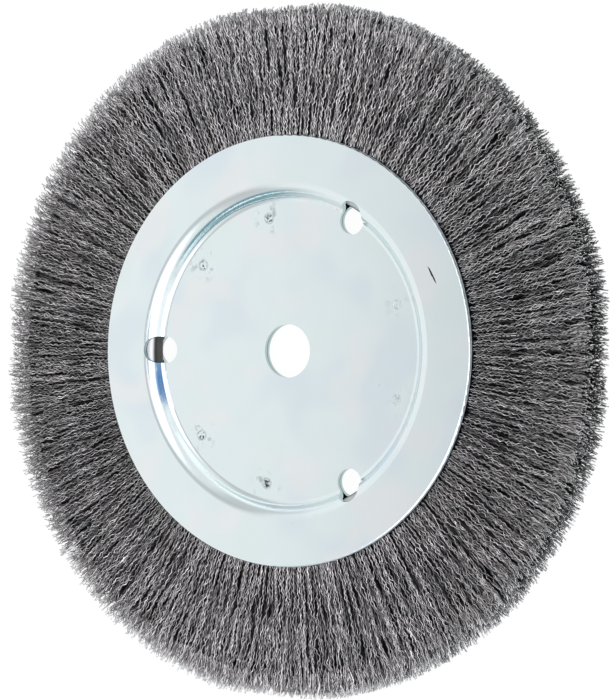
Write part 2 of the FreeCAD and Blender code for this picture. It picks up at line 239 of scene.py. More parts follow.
@dataclass
class EffectGroups:
    """Shader effects that more than one finish uses, each built once."""

    gloss_scale: float = 45.0
    gloss_patches: Span = (0.3, 0.7)
    speck_scale: float = 900.0
    speck_limits: Span = (0.74, 0.80)
    patch_scale: float = 38.0
    patch_limits: Span = (0.52, 0.66)
    smudge_scale: float = 120.0
    smudge_limits: Span = (0.5, 0.75)

    def __post_init__(self) -> None:
        """Builds the effects."""
        self.grain = self._grain()
        self.grime = self._grime()

    def _grain(self) -> bpy.types.NodeTree:
        """Builds rolled metal: soft unevenness of gloss, and a fine bump height.

        Returns:
            The shader group.
        """
        inputs = {
            "Scale": ("NodeSocketFloat", 600.0),
            "Gloss low": ("NodeSocketFloat", 0.3),
            "Gloss high": ("NodeSocketFloat", 0.4),
        }
        outputs = {"Roughness": "NodeSocketFloat", "Height": "NodeSocketFloat"}
        nodes, given = open_group("Rolled grain", "ShaderNodeTree", inputs, outputs)
        place = nodes.add("ShaderNodeTexCoord").outputs["Object"]
        fine = nodes.cloud(place, given["Scale"], 3.0)
        broad = nodes.ramp(nodes.cloud(place, self.gloss_scale, 3.0), *self.gloss_patches)
        gloss = nodes.blend(broad, given["Gloss low"], given["Gloss high"])
        nodes.add("NodeGroupOutput", {"Roughness": gloss, "Height": fine})
        return nodes.tree

    def _grime(self) -> bpy.types.NodeTree:
        """Builds handling marks: sparse specks and faint smudges, as one mask.

        Returns:
            The shader group.
        """
        inputs = {"Specks": ("NodeSocketFloat", 0.5), "Smudges": ("NodeSocketFloat", 0.3)}
        outputs = {"Mask": "NodeSocketFloat"}
        nodes, given = open_group("Handling marks", "ShaderNodeTree", inputs, outputs)
        place = nodes.add("ShaderNodeTexCoord").outputs["Object"]
        dots = nodes.ramp(nodes.cloud(place, self.speck_scale, 1.0), *self.speck_limits)
        patch = nodes.ramp(nodes.cloud(place, self.patch_scale), *self.patch_limits)
        smudge = nodes.ramp(nodes.cloud(place, self.smudge_scale, 4.0), *self.smudge_limits)
        specks = nodes.times(dots, patch, given["Specks"])
        mask = nodes.calc("MAXIMUM", specks, nodes.times(smudge, patch, given["Smudges"]))
        nodes.add("NodeGroupOutput", {"Mask": mask})
        return nodes.tree


class WheelPlace:
    """Where on the wheel the shaded point lies."""

    def __init__(self, nodes: Nodes) -> None:
        """Reads the point and how far it is from the axis."""
        coordinates = nodes.add("ShaderNodeTexCoord").outputs
        self.nodes, self.point, self.normal = nodes, coordinates["Object"], coordinates["Normal"]
        self.x, self.y, self.z = nodes.split(self.point)
        self.radius = nodes.length(nodes.point(self.x, self.y, 0.0))

    def angle(self) -> Socket:
        """Gives the point's angle about the axis."""
        return self.nodes.calc("ARCTAN2", self.y, self.x)


@dataclass(frozen=True)
class WeldMarks:
    """Marks of the spot welds on a clamp disc, in one pair about each spoke.

    A mark is a faint ring with smudges round it and burnt spots in it. The marks on the left are
    burnt the most.
    """

    spokes: int = 3
    spread: float = math.radians(20.0)
    circle: float = 39.8 * MM
    radius: float = 1.3 * MM
    edge_share: float = 1.15
    floor_share: float = 0.8
    ragged: float = 1.2 * MM
    ragged_scale: float = 900.0
    burnt_across: Span = (12.0 * MM, -4.0 * MM)
    least_burnt: float = 0.25
    spot_scale: float = 1500.0
    spot_starts: Span = (0.34, 0.58)
    spot_full: float = 0.62
    mark_scale: float = 60.0
    ring_width: Span = (0.45 * MM, 0.10 * MM)
    ring_strength: float = 0.45
    blotch_scale: float = 420.0
    blotch_limits: Span = (0.52, 0.66)
    blotch_strength: float = 0.75
    smudge_width: Span = (6.5 * MM, 1.5 * MM)

    def masks(self, nodes: Nodes, where: WheelPlace) -> tuple[Socket, Socket]:
        """Finds the marks.

        Args:
            nodes: the material's nodes.
            where: the shaded point.

        Returns:
            A mask of the faint rings and smudges, and one of the burnt spots.
        """
        half = math.pi / self.spokes
        turned = nodes.calc("WRAP", where.angle(), half, -half)
        aside = nodes.calc("SUBTRACT", nodes.calc("ABSOLUTE", turned), self.spread)
        along = nodes.times(aside, self.circle)
        across = nodes.calc("SUBTRACT", where.radius, self.circle)
        distance = nodes.length(nodes.point(along, across, 0.0))
        burnt = nodes.ramp(where.x, *self.burnt_across, self.least_burnt, 1.0)
        ragged = nodes.sway(where.point, self.ragged_scale)
        reach = nodes.calc("MULTIPLY_ADD", ragged, self.ragged, distance)
        start = nodes.blend(nodes.cloud(where.point, self.mark_scale, 0.0), *self.spot_starts)
        spots = nodes.ramp(nodes.cloud(where.point, self.spot_scale), start, self.spot_full)
        edge = self.edge_share * self.radius
        inside = nodes.ramp(reach, edge, self.floor_share * self.radius)
        pit = nodes.times(inside, spots, burnt)
        ring = nodes.calc("ABSOLUTE", nodes.calc("SUBTRACT", reach, edge))
        ring = nodes.ramp(ring, *self.ring_width, 0.0, self.ring_strength)
        blotch = nodes.cloud(where.point, self.blotch_scale, 3.0)
        blotch = nodes.ramp(blotch, *self.blotch_limits, 0.0, self.blotch_strength)
        smudge = nodes.times(nodes.ramp(distance, *self.smudge_width), blotch)
        faint = nodes.times(nodes.calc("MAXIMUM", ring, smudge), burnt)
        return faint, pit


@dataclass(frozen=True)
class FlangeScratch:
    """A short dark scratch on the front flange, thin at both its ends."""

    circle: float = 55.9 * MM
    drift: float = -0.7 * MM
    start: float = math.radians(20.2)
    end: float = math.radians(26.4)
    width: float = 0.30 * MM
    waver: float = 0.6 * MM
    waver_scale: float = 700.0

    def mask(self, nodes: Nodes, where: WheelPlace) -> Socket:
        """Finds the scratch.

        Args:
            nodes: the material's nodes.
            where: the shaded point.

        Returns:
            The scratch's mask.
        """
        share = nodes.out(
            "ShaderNodeMapRange",
            {"Value": where.angle(), "From Min": self.start, "From Max": self.end},
            clamp=False,
        )
        path = nodes.calc("MULTIPLY_ADD", share, self.drift, self.circle)
        waver = nodes.sway(where.point, self.waver_scale)
        path = nodes.calc("MULTIPLY_ADD", waver, self.waver, path)
        off = nodes.calc("ABSOLUTE", nodes.calc("SUBTRACT", where.radius, path))
        arch = nodes.times(share, nodes.calc("SUBTRACT", 1.0, share))
        width = nodes.times(nodes.calc("MAXIMUM", arch, 0.0), ARCH * self.width)
        line = nodes.calc("LESS_THAN", off, width)
        return nodes.times(line, nodes.calc("GREATER_THAN", where.z, 0.0))


@dataclass(frozen=True)
class ZincFinish:
    """Bright zinc with a pale blue tint, on the pressed plates."""

    body: Colour = (0.755, 0.838, 0.855, 1.0)
    green: Colour = (0.742, 0.826, 0.832, 1.0)
    blue: Colour = (0.722, 0.805, 0.850, 1.0)
    warm: Colour = (0.790, 0.830, 0.842, 1.0)
    cut_edge: Colour = (0.44, 0.56, 0.56, 1.0)
    burn: Colour = (0.045, 0.040, 0.038, 1.0)
    stain: Colour = (0.36, 0.41, 0.43, 1.0)
    grain_scale: float = 1400.0
    gloss: Span = (0.15, 0.20)
    bump_strength: float = 0.06
    bump_distance: float = 0.05 * MM
    tint_scale: float = 42.0
    blue_patches: Span = (0.50, 0.66)
    green_patches: Span = (0.48, 0.34)
    warm_scale: float = 55.0
    warm_patches: Span = (0.52, 0.66)
    warm_shift: Direction = (0.3, 0.7, 0.0)
    specks: float = 0.5
    speck_stain: float = 0.6
    pit_depth: float = 2.0
    pit_dulling: float = 0.3
    rim_dulling: float = 0.45
    hole_limit: float = 60.0 * MM
    wall_limits: Span = (0.12, 0.03)
    seam: Span = (0.20 * MM, 0.05 * MM)
    welds: WeldMarks = WeldMarks()
    scratch: FlangeScratch = FlangeScratch()

    def build(self, groups: EffectGroups) -> bpy.types.Material:
        """Makes the material.

        Args:
            groups: the shared effects.

        Returns:
            The zinc material.
        """
        material, nodes, surface = new_material("Bright zinc")
        where = WheelPlace(nodes)
        gloss = {"Scale": self.grain_scale, "Gloss low": self.gloss[0], "Gloss high": self.gloss[1]}
        grain = nodes.add("ShaderNodeGroup", gloss, node_tree=groups.grain).outputs
        handling = {"Specks": self.specks, "Smudges": 0.0}
        marks = nodes.add("ShaderNodeGroup", handling, node_tree=groups.grime).outputs["Mask"]
        patch = nodes.cloud(where.point, self.tint_scale, 1.0)
        colour = nodes.tint(nodes.ramp(patch, *self.blue_patches), self.body, self.blue)
        colour = nodes.tint(nodes.ramp(patch, *self.green_patches), colour, self.green)
        patch = nodes.cloud(nodes.vector("ADD", where.point, self.warm_shift), self.warm_scale, 1.0)
        colour = nodes.tint(nodes.ramp(patch, *self.warm_patches), colour, self.warm)
        colour = nodes.tint(nodes.times(marks, self.speck_stain), colour, self.stain)
        faint, pit = self.welds.masks(nodes, where)
        colour = nodes.tint(faint, colour, self.stain)
        colour = nodes.tint(pit, colour, self.burn)
        colour = nodes.tint(self.scratch.mask(nodes, where), colour, self.burn)
        upright = nodes.calc("ABSOLUTE", nodes.split(where.normal)["Z"])
        sheared = nodes.ramp(upright, *self.wall_limits)
        rim = nodes.times(sheared, nodes.calc("GREATER_THAN", where.radius, self.hole_limit))
        hole = nodes.times(sheared, nodes.calc("LESS_THAN", where.radius, self.hole_limit))
        colour = nodes.tint(hole, colour, self.cut_edge)
        seam = nodes.ramp(nodes.calc("ABSOLUTE", where.z), *self.seam)
        colour = nodes.tint(nodes.times(seam, hole), colour, self.burn)
        height = nodes.calc("SUBTRACT", grain["Height"], nodes.times(pit, self.pit_depth))
        rough = nodes.calc("ADD", grain["Roughness"], nodes.times(pit, self.pit_dulling))
        nodes.coat(surface, {
            "Base Color": colour,
            "Roughness": nodes.calc("MULTIPLY_ADD", rim, self.rim_dulling, rough),
            "Normal": nodes.bump(self.bump_strength, self.bump_distance, height),
            "Metallic": 1.0,
        })
        return material


@dataclass(frozen=True)
class SteelFinish:
    """Plain drawn or rolled steel, as on the channel strip and the core ring.

    A lit steel colour, where there is one, shows from a radius outwards, and the colours inside
    that radius are painted shade.
    """

    name: str
    light: Colour
    dark: Colour
    grain_scale: float
    gloss: Span
    lit_steel: Colour | None = None
    lit_from: float = 47.4 * MM
    lit_fade: float = 0.6 * MM
    tone_scale: float = 90.0
    tone_limits: Span = (0.35, 0.65)
    bump_strength: float = 0.2
    bump_distance: float = 0.05 * MM

    def build(self, groups: EffectGroups) -> bpy.types.Material:
        """Makes the material.

        Args:
            groups: the shared effects.

        Returns:
            The steel material.
        """
        material, nodes, surface = new_material(self.name)
        place = nodes.add("ShaderNodeTexCoord").outputs["Object"]
        gloss = {"Scale": self.grain_scale, "Gloss low": self.gloss[0], "Gloss high": self.gloss[1]}
        grain = nodes.add("ShaderNodeGroup", gloss, node_tree=groups.grain).outputs
        marks = nodes.add("ShaderNodeGroup", node_tree=groups.grime).outputs["Mask"]
        tone = nodes.ramp(nodes.cloud(place, self.tone_scale), *self.tone_limits)
        colour = nodes.tint(tone, self.light, self.dark)
        # Painted shade: where a lit colour is given, the dark colours inside its radius stand in
        # for the shadow on the strip's web, and the lit colour shows outwards on its bend.
        if self.lit_steel:
            radius = nodes.length(nodes.vector("MULTIPLY", place, (1.0, 1.0, 0.0)))
            lit_share = nodes.ramp(radius, self.lit_from, self.lit_from + self.lit_fade)
            colour = nodes.tint(lit_share, colour, self.lit_steel)
        nodes.coat(surface, {
            "Base Color": nodes.tint(marks, colour, self.dark),
            "Roughness": grain["Roughness"],
            "Normal": nodes.bump(self.bump_strength, self.bump_distance, grain["Height"]),
            "Metallic": 1.0,
        })
        return material


@dataclass(frozen=True)
class Flare:
    """How the fill's half thickness grows from the plates' rim out to the trim."""

    rim: float
    reach: float
    half_rim: float
    half_trim: float

    def half_width(self, radius: float) -> float:
        """Gives half of the fill's thickness at a radius."""
        share = (radius - self.rim) / (self.reach - self.rim)
        return self.half_rim + (self.half_trim - self.half_rim) * max(share, 0.0)


@dataclass(frozen=True)
class WireFinish:
    """Drawn steel wire, each length a little brighter or duller than the next.

    Wires that lie deep in the fill get painted shade, as if in the shadow of the wires over them.
    Raised crimps get a painted glint, tips are painted lighter, and sheared ends are bright.
    """

    dull: Colour = (0.17, 0.167, 0.170, 1.0)
    bright: Colour = (0.98, 0.962, 0.966, 1.0)
    oil: Colour = (0.07, 0.066, 0.064, 1.0)
    # Painted shade for the wires that lie deep in the fill.
    deep_shade: Colour = (0.15, 0.148, 0.152, 1.0)
    tip: Colour = (0.74, 0.77, 0.77, 1.0)
    sheared: Colour = (0.94, 0.96, 0.96, 1.0)
    roughness: float = 0.26
    glint_share: float = 0.62
    unshaded_depths: Span = (0.25, 0.80)
    oil_scale: float = 700.0
    oil_patches: Span = (0.45, 0.72)
    oil_strength: float = 0.4
    tips: Span = (99.6 * MM, 101.2 * MM)
    tip_light: float = 0.4
    ends: Span = (96.0 * MM, 98.0 * MM)
    end_facing: Span = (0.35, 0.60)

    def build(self, flare: Flare) -> bpy.types.Material:
        """Makes the material, which reads each wire's own shade from its mesh.

        Args:
            flare: the fill's thickness, by radius.

        Returns:
            The wire's material.
        """
        material, nodes, surface = new_material("Crimped steel wire")
        where = WheelPlace(nodes)
        half = nodes.out(
            "ShaderNodeMapRange",
            {
                "Value": where.radius,
                "From Min": flare.rim,
                "From Max": flare.reach,
                "To Min": flare.half_rim,
                "To Max": flare.half_trim,
            },
        )
        # Painted shade: the deeper a point lies in the fill, the more its colour goes to the dark
        # one; at the tips, out in the open, the painted shade is lifted.
        level = nodes.calc("DIVIDE", nodes.calc("ABSOLUTE", where.z), half)
        open_air = nodes.ramp(where.radius, *self.tips)
        unshaded = nodes.calc("MAXIMUM", nodes.ramp(level, *self.unshaded_depths), open_air)
        shade = nodes.add("ShaderNodeAttribute", attribute_name="shade").outputs["Fac"]
        crest = nodes.add("ShaderNodeAttribute", attribute_name="crest").outputs["Fac"]
        # Painted highlight: each point's crest value, which also lifts the wire, mixes its colour
        # towards the bright one as a glint on the raised crimps.
        colour = nodes.tint(nodes.blend(self.glint_share, shade, crest), self.dull, self.bright)
        film = nodes.ramp(nodes.cloud(where.point, self.oil_scale, 3.0), *self.oil_patches)
        colour = nodes.tint(nodes.times(film, self.oil_strength), colour, self.oil)
        colour = nodes.tint(unshaded, self.deep_shade, colour)
        # Painted light on the tips, which are lighter where they stand out in the open past the
        # fill.
        tip = nodes.ramp(where.radius, *self.tips, 0.0, self.tip_light)
        colour = nodes.tint(tip, colour, self.tip)
        outward = nodes.vector("NORMALIZE", nodes.point(where.x, where.y, 0.0))
        end = nodes.ramp(nodes.nearness(where.normal, outward), *self.end_facing)
        end = nodes.times(end, nodes.ramp(where.radius, *self.ends))
        colour = nodes.tint(end, colour, self.sheared)
        nodes.coat(surface, {"Base Color": colour, "Roughness": self.roughness, "Metallic": 1.0})
        return material


@dataclass(frozen=True)
class DeepFillFinish:
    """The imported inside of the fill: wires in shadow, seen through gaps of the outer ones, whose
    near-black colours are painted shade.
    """

    # Painted shade: both colours are near black for the shadow deep in the fill.
    gap: Colour = (0.004, 0.004, 0.004, 1.0)
    wire: Colour = (0.045, 0.045, 0.048, 1.0)
    roughness: float = 0.7
    streak_scale: float = 900.0
    streak_limits: Span = (0.42, 0.66)
    round_share: float = 0.25
    outward_share: float = 0.12
    depth_share: float = 2.0
    bump_strength: float = 0.8
    bump_distance: float = 0.3 * MM

    def build(self) -> bpy.types.Material:
        """Makes the material, with streaks that run outwards from the axis.

        Returns:
            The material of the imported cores.
        """
        material, nodes, surface = new_material("Deep wire fill")
        where = WheelPlace(nodes)
        angle = where.angle()
        outward = nodes.times(where.radius, self.outward_share)
        drawn = nodes.point(
            nodes.times(nodes.calc("COSINE", angle), self.round_share),
            nodes.times(nodes.calc("SINE", angle), self.round_share),
            nodes.calc("ADD", outward, nodes.times(where.z, self.depth_share)),
        )
        streak = nodes.ramp(nodes.cloud(drawn, self.streak_scale, 3.0), *self.streak_limits)
        nodes.coat(surface, {
            "Base Color": nodes.tint(streak, self.gap, self.wire),
            "Normal": nodes.bump(self.bump_strength, self.bump_distance, streak),
            "Roughness": self.roughness,
            "Specular IOR Level": 0.0,
        })
        return material


UNDER_RIM = 61.8 * MM
MID_FILL = 76.0 * MM
LOOSE_STRAY = 7.0 * MM


@dataclass(frozen=True)
class WireLayer:
    """One depth of wires in a tuft.

    The wires start at the root radius. The depths are shares of the fill's half thickness, and
    most wires lie near the outer one. They start at a share of their own depth. Scatter is how
    much shorter an end may be, stray how far it may lean to one side, and thick and clump are
    shares of the fill's own wire radius and clump.
    """

    wires: int
    segments: int
    outer: float
    inner: float
    root: float = UNDER_RIM
    start: float = 1.0
    scatter: float = 3.2 * MM
    stray: float = 1.6 * MM
    thick: float = 1.0
    clump: float = 1.0

    def sockets(self) -> dict[str, tuple[str, float]]:
        """Gives the type and value of each input that a layer sets for itself."""
        return {
            "Wires": ("NodeSocketInt", self.wires),
            "Segments": ("NodeSocketInt", self.segments),
            "Root": ("NodeSocketFloat", self.root),
            "Outer depth": ("NodeSocketFloat", self.outer),
            "Inner depth": ("NodeSocketFloat", self.inner),
            "Start depth": ("NodeSocketFloat", self.start),
            "End scatter": ("NodeSocketFloat", self.scatter),
            "Stray": ("NodeSocketFloat", self.stray),
        }


class Depth(Enum):
    """The layers of a tuft, from its front face through the middle to its rear face.

    The outer layers come up between the long wires where the fill spreads.
    """

    FRONT = WireLayer(wires=24, segments=42, outer=1.0, inner=0.50)
    FRONT_OUTER = WireLayer(wires=20, segments=26, outer=1.0, inner=0.45, root=MID_FILL,
                            start=0.35)
    FRONT_LOOSE = WireLayer(wires=1, segments=42, outer=1.0, inner=0.9, stray=LOOSE_STRAY)
    MIDDLE = WireLayer(wires=6, segments=12, outer=-0.4, inner=0.4, root=86.0 * MM)
    TRIM = WireLayer(wires=182, segments=2, outer=-1.0, inner=1.0, root=95.5 * MM,
                     stray=2.2 * MM, thick=1.2, clump=0.55)
    REAR_LOOSE = WireLayer(wires=1, segments=36, outer=-1.0, inner=-0.9, stray=LOOSE_STRAY)
    REAR_OUTER = WireLayer(wires=18, segments=22, outer=-1.0, inner=-0.45, root=MID_FILL,
                           start=0.35)
    REAR = WireLayer(wires=20, segments=36, outer=-1.0, inner=-0.50)


@dataclass(frozen=True)
class Strand:
    """A wire's values at one of its points.

    They are the values drawn for the wire, its direction from the axis, the point's radius, its
    share of the way from the plates' rim to the trim, how free it is to bend, and its place in
    the noise of its bundle and in its own.
    """

    own: dict[str, Socket]
    cosine: Socket
    sine: Socket
    radius: Socket
    grow: Socket
    free: Socket
    bundle: Socket
    alone: Socket


@dataclass
class WireFill:
    """The ring of crimped wire, one piece for each of its tufts.

    Each piece is a packed core, painted dark as shade, that follows the tuft's own form, with loose
    wires over both its faces and round its ends.
    """

    wire_finish: WireFinish = WireFinish()
    core_finish: DeepFillFinish = DeepFillFinish()
    rim_inset: float = 1.25 * MM
    wire_radius: float = 0.165 * MM
    wire_sides: int = 3
    skin: float = 1.3
    crimp: float = 0.25 * MM
    crimp_lift: float = 0.16 * MM
    crimp_uneven: Span = (0.3, 1.3)
    crimp_shift: float = 0.25 * MM
    overreach: float = 1.2 * MM
    start_scatter: float = 1.1 * MM
    slot_share: float = 0.48
    bias: float = 1.4
    clump: float = 0.65 * MM
    clump_gain: float = 4.0
    clump_spacing: float = 0.040
    wander: float = 15.0 * MM
    own_bend: float = 1.6 * MM
    own_bend_length: float = 6.0 * MM
    own_spacing: Span = (90.0, 15.0)
    rise_shift: Direction = (0.0, 7.0, 3.0)
    freeing: float = 4.0
    flick: float = 0.8 * MM
    flick_length: float = 3.0 * MM
    sink: float = 0.35
    sink_limits: Span = (0.35, 0.65)
    sink_shift: Direction = (17.0, 5.0, 0.0)
    climb: float = 8.0 * MM
    core_inset: float = 1.0 * MM
    core_share: float = 0.35
    core_share_end: float = 0.50
    core_share_power: int = 3
    core_width: float = 0.97
    core_columns: int = 10
    core_rows: int = 11
    core_end: float = 96.0 * MM
    core_ragged: float = 1.0 * MM
    core_ragged_power: int = 4
    core_end_scale: float = 200.0
    core_end_row: float = 3.0
    core_face_gaps: Span = (2.0, 4.0)
    core_ridge: float = 0.2
    core_ridge_scale: Span = (90.0, 30.0)
    seed: int = 11
    tuft_seeds: int = 1000
    layer_seeds: float = 20.0
    crest_seed: float = 12.0
    uneven_seed: float = 13.0
    shift_seed: int = 7

    def __post_init__(self) -> None:
        """Reads the fill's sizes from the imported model, and makes its materials."""
        self.tufts = sorted(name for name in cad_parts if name.startswith("wire_tuft"))
        self.width = 2 * math.pi / len(self.tufts)
        low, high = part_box(self.tufts[0])
        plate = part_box("front_face_plate")[1]
        self.root = low[0]
        self.flare = Flare(plate[0], high[0], plate[2] - self.rim_inset, high[2])
        self.wire_material = self.wire_finish.build(self.flare)
        self.core_material = self.core_finish.build()

    def shared_sockets(self) -> dict[str, tuple[str, float]]:
        """Gives the type and value of each input that a tuft hands on to its layers."""
        return {
            "Tuft angle": ("NodeSocketFloat", 0.0),
            "Tuft width": ("NodeSocketFloat", self.width),
            "Wire radius": ("NodeSocketFloat", self.wire_radius),
            "Crimp height": ("NodeSocketFloat", self.crimp),
            "Clump": ("NodeSocketFloat", self.clump),
            "Seed": ("NodeSocketInt", self.seed),
        }

    def layer_group(self) -> bpy.types.NodeTree:
        """Builds the tree that lays one layer of wires.

        Returns:
            A geometry group whose output is the layer's wires as closed tubes.
        """
        inputs = Depth.FRONT.value.sockets() | self.shared_sockets()
        outputs = {"Wires": "NodeSocketGeometry"}
        nodes, given = open_group("Wire layer", "GeometryNodeTree", inputs, outputs)
        points = nodes.out("GeometryNodePoints", {"Count": given["Wires"]})
        points = self._draws(nodes, given, points)
        line = nodes.out("GeometryNodeCurvePrimitiveLine")
        count = nodes.calc("ADD", given["Segments"], 1.0)
        line = nodes.out("GeometryNodeResampleCurve", {"Curve": line, "Count": count})
        copies = nodes.out("GeometryNodeInstanceOnPoints", {"Points": points, "Instance": line})
        curves = nodes.out("GeometryNodeRealizeInstances", {"Geometry": copies})
        # Each point's crest lifts it out of line, and the wire material paints a glint on the
        # raised ones.
        seed = nodes.calc("ADD", given["Seed"], self.crest_seed)
        crest = nodes.out("FunctionNodeRandomValue", {"Seed": seed}, data_type="FLOAT")
        curves = nodes.out(
            "GeometryNodeStoreNamedAttribute",
            {"Geometry": curves, "Name": "crest", "Value": crest},
            data_type="FLOAT",
        )
        place = self._route(nodes, given)
        curves = nodes.out("GeometryNodeSetPosition", {"Geometry": curves, "Position": place})
        sides = {"Resolution": self.wire_sides, "Radius": given["Wire radius"]}
        profile = nodes.out("GeometryNodeCurvePrimitiveCircle", sides)
        tubes = nodes.out(
            "GeometryNodeCurveToMesh",
            {"Curve": curves, "Profile Curve": profile, "Fill Caps": True},
        )
        tubes = nodes.out("GeometryNodeSetShadeSmooth", {"Geometry": tubes})
        nodes.add("NodeGroupOutput", {"Wires": tubes})
        return nodes.tree

    def _draws(self, nodes: Nodes, given: dict, points: Socket) -> Socket:
        """Stores each wire's own random values on its point.

        Args:
            nodes: the layer group's nodes.
            given: the group's inputs.
            points: one point for each wire.

        Returns:
            The points with their values.
        """
        index = nodes.out("GeometryNodeInputIndex")
        ranges = {
            "turn": (-self.slot_share, self.slot_share),
            "depth": (0.0, 1.0),
            "plane": (0.0, 2 * math.pi),
            "start": (-self.start_scatter, self.start_scatter),
            "end": (0.0, 1.0),
            "stray": (-1.0, 1.0),
            "shade": (0.0, 1.0),
        }
        for offset, (name, (low, high)) in enumerate(ranges.items()):
            seed = nodes.calc("ADD", given["Seed"], float(offset))
            draw = nodes.out(
                "FunctionNodeRandomValue",
                {"Min": low, "Max": high, "ID": index, "Seed": seed},
                data_type="FLOAT",
            )
            if name == "turn":
                slot = nodes.calc("DIVIDE", nodes.calc("ADD", index, 0.5), given["Wires"])
                step = nodes.calc("DIVIDE", draw, given["Wires"])
                draw = nodes.calc("ADD", nodes.calc("SUBTRACT", slot, 0.5), step)
            if name == "depth":
                draw = nodes.calc("POWER", draw, self.bias)
                draw = nodes.blend(draw, given["Outer depth"], given["Inner depth"])
            points = nodes.out(
                "GeometryNodeStoreNamedAttribute",
                {"Geometry": points, "Name": name, "Value": draw},
                data_type="FLOAT",
            )
        return points

    def _strand(self, nodes: Nodes, given: dict) -> Strand:
        """Lays a wire straight outwards, from its root to its own tip.

        Args:
            nodes: the layer group's nodes.
            given: the group's inputs.

        Returns:
            The wire's values at each of its points.
        """
        names = ("turn", "depth", "plane", "start", "end", "stray", "crest")
        kind = "GeometryNodeInputNamedAttribute"
        own = {name: nodes.out(kind, {"Name": name}, data_type="FLOAT") for name in names}
        rim, reach = self.flare.rim, self.flare.reach
        angle = nodes.calc("MULTIPLY_ADD", own["turn"], given["Tuft width"], given["Tuft angle"])
        cosine, sine = nodes.calc("COSINE", angle), nodes.calc("SINE", angle)
        square = nodes.calc("MAXIMUM", nodes.calc("ABSOLUTE", cosine), nodes.calc("ABSOLUTE", sine))
        tip = nodes.calc("MINIMUM", nodes.calc("DIVIDE", reach, square), reach + self.overreach)
        tip = nodes.calc("SUBTRACT", tip, self.wire_radius)
        drop = nodes.times(nodes.calc("POWER", own["end"], self.bias), given["End scatter"])
        tip = nodes.calc("SUBTRACT", tip, drop)
        root = nodes.calc("ADD", given["Root"], own["start"])
        along = nodes.add("GeometryNodeSplineParameter").outputs["Factor"]
        radius = nodes.blend(along, root, tip)
        grow = nodes.calc("DIVIDE", nodes.calc("SUBTRACT", radius, rim), reach - rim)
        grow = nodes.calc("MAXIMUM", grow, 0.0)
        ring = 1.0 / self.clump_spacing
        bundle = nodes.point(
            nodes.times(cosine, ring),
            nodes.times(sine, ring),
            nodes.calc("MULTIPLY_ADD", radius, 1.0 / self.wander, own["depth"]),
        )
        alone = nodes.point(
            nodes.times(own["stray"], self.own_spacing[0]),
            nodes.calc("DIVIDE", radius, self.own_bend_length),
            nodes.times(own["plane"], self.own_spacing[1]),
        )
        free = nodes.calc("MINIMUM", nodes.times(grow, self.freeing), 1.0)
        return Strand(own, cosine, sine, radius, grow, free, bundle, alone)

    def _flick(self, nodes: Nodes, strand: Strand) -> Socket:
        """Gives how far a wire's last stretch flicks out of line."""
        reach = self.flare.reach
        return nodes.ramp(strand.radius, reach - self.flick_length, reach, 0.0, self.flick)

    def _sideways(self, nodes: Nodes, given: dict, strand: Strand) -> Socket:
        """Finds how far a wire's crimps, bends and bundle take it to one side.

        Args:
            nodes: the layer group's nodes.
            given: the group's inputs.
            strand: the wire.

        Returns:
            The distance from the wire's straight run, round the wheel.
        """
        lean = nodes.times(nodes.sway(strand.bundle, 1.0), given["Clump"], self.clump_gain)
        lean = nodes.calc("MULTIPLY_ADD", strand.own["stray"], given["Stray"], lean)
        lean = nodes.times(lean, strand.grow)
        bend = nodes.times(nodes.sway(strand.alone, 1.0, 1.0), strand.free)
        lean = nodes.calc("MULTIPLY_ADD", bend, 2.0 * self.own_bend, lean)
        number = nodes.add("GeometryNodeSplineParameter").outputs["Index"]
        sign = nodes.calc("MULTIPLY_ADD", nodes.calc("PINGPONG", number, 1.0), 2.0, -1.0)
        low, high = self.crimp_uneven
        seed = nodes.calc("ADD", given["Seed"], self.uneven_seed)
        values = {"Min": low, "Max": high, "Seed": seed}
        uneven = nodes.out("FunctionNodeRandomValue", values, data_type="FLOAT")
        across = nodes.calc("ADD", nodes.times(sign, given["Crimp height"], uneven), lean)
        aim = nodes.calc("COSINE", strand.own["plane"])
        return nodes.calc("MULTIPLY_ADD", aim, self._flick(nodes, strand), across)

    def _height(self, nodes: Nodes, given: dict, strand: Strand) -> Socket:
        """Finds how high a wire lies in the fill, which flares towards the trim.

        Args:
            nodes: the layer group's nodes.
            given: the group's inputs.
            strand: the wire.

        Returns:
            The distance from the wheel's middle plane.
        """
        rise = nodes.sway(nodes.vector("ADD", strand.alone, self.rise_shift), 1.0, 1.0)
        rise = nodes.times(rise, strand.free)
        relief = nodes.cloud(nodes.vector("ADD", strand.bundle, self.sink_shift), 1.0)
        relief = nodes.ramp(relief, *self.sink_limits, 1.0, 1.0 - self.sink)
        swell = nodes.times(strand.grow, nodes.calc("SUBTRACT", 1.0, strand.grow), ARCH)
        relief = nodes.blend(swell, 1.0, relief)
        climb = nodes.calc("SUBTRACT", strand.radius, given["Root"])
        climb = nodes.ramp(climb, 0.0, self.climb, given["Start depth"], 1.0)
        relief = nodes.times(relief, climb)
        limit = nodes.blend(strand.grow, self.flare.half_rim, self.flare.half_trim)
        limit = nodes.calc("SUBTRACT", limit, self.crimp_lift + self.skin * self.wire_radius)
        lowest = nodes.times(limit, -1.0)
        height = nodes.times(limit, strand.own["depth"], relief)
        height = nodes.calc("MULTIPLY_ADD", rise, 2.0 * self.own_bend, height)
        height = nodes.calc("MAXIMUM", nodes.calc("MINIMUM", height, limit), lowest)
        aim = nodes.calc("SINE", strand.own["plane"])
        height = nodes.calc("MULTIPLY_ADD", aim, self._flick(nodes, strand), height)
        height = nodes.calc("MAXIMUM", nodes.calc("MINIMUM", height, limit), lowest)
        lift = nodes.calc("MULTIPLY_ADD", strand.own["crest"], 2.0, -1.0)
        return nodes.calc("MULTIPLY_ADD", lift, self.crimp_lift, height)

